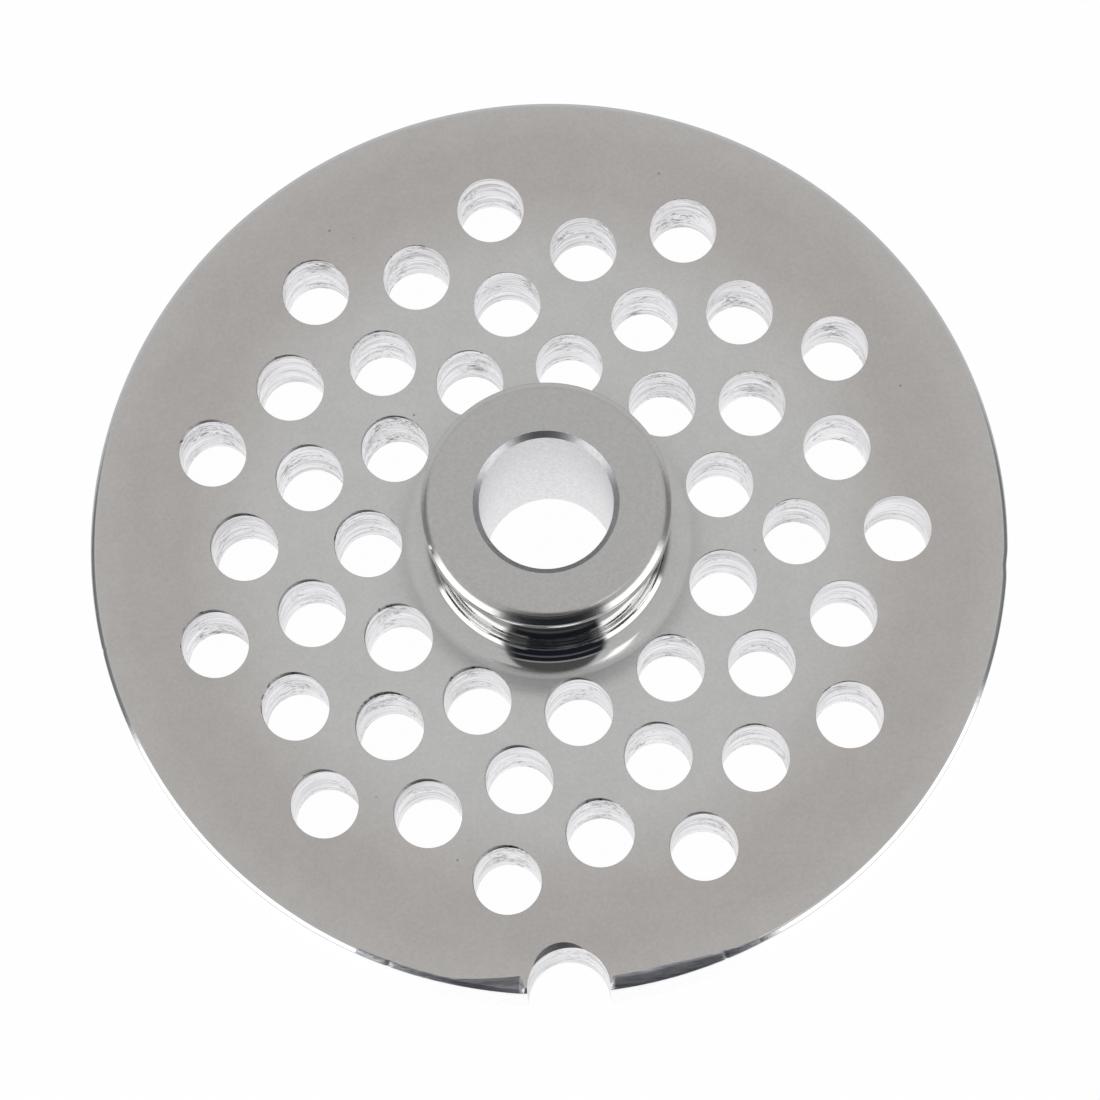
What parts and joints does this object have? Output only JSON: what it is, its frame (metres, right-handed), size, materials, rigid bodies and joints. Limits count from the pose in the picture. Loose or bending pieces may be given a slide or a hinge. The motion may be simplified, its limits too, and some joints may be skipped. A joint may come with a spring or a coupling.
{
  "type": "meat grinder plate",
  "caption": "Round steel meat grinder plate with a raised centre hub, rings of through holes and a half-round locating notch in the rim.",
  "frame": {"origin": "on the bore's axis, in the flat cutting face that the knife sweeps", "axes": "+Z along the bore's axis to the hub's end, -Y through the middle of the rim's notch"},
  "size_m": [0.0814, 0.0814, 0.022],
  "materials": {
    "steel": "ground faces, polished hub and rim"
  },
  "bodies": {
    "root": {"grinder_plate": "steel"}
  },
  "joints": []
}
